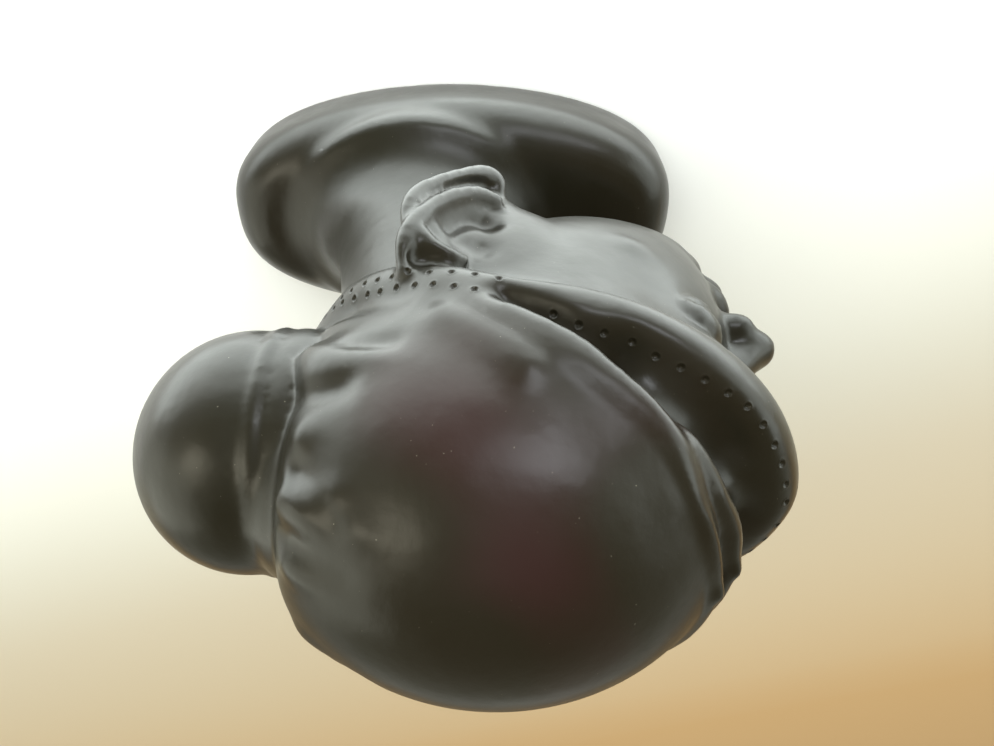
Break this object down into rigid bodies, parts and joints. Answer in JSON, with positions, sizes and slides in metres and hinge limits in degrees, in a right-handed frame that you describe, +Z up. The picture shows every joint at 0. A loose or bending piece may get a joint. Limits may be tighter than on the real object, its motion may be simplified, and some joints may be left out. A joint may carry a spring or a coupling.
{
  "type": "female bust",
  "caption": "Glazed ceramic head of a woman in a headscarf tied round a bun, cast in one with a thick oval plinth.",
  "frame": {"origin": "middle of the plinth's flat oval underside", "axes": "+Z up to the crown, -Y the way the face looks, +X the figure's left"},
  "size_m": [0.1204, 0.2134, 0.2647],
  "materials": {
    "glaze": "satin"
  },
  "bodies": {
    "root": {"female_bust": "glaze"}
  },
  "joints": []
}
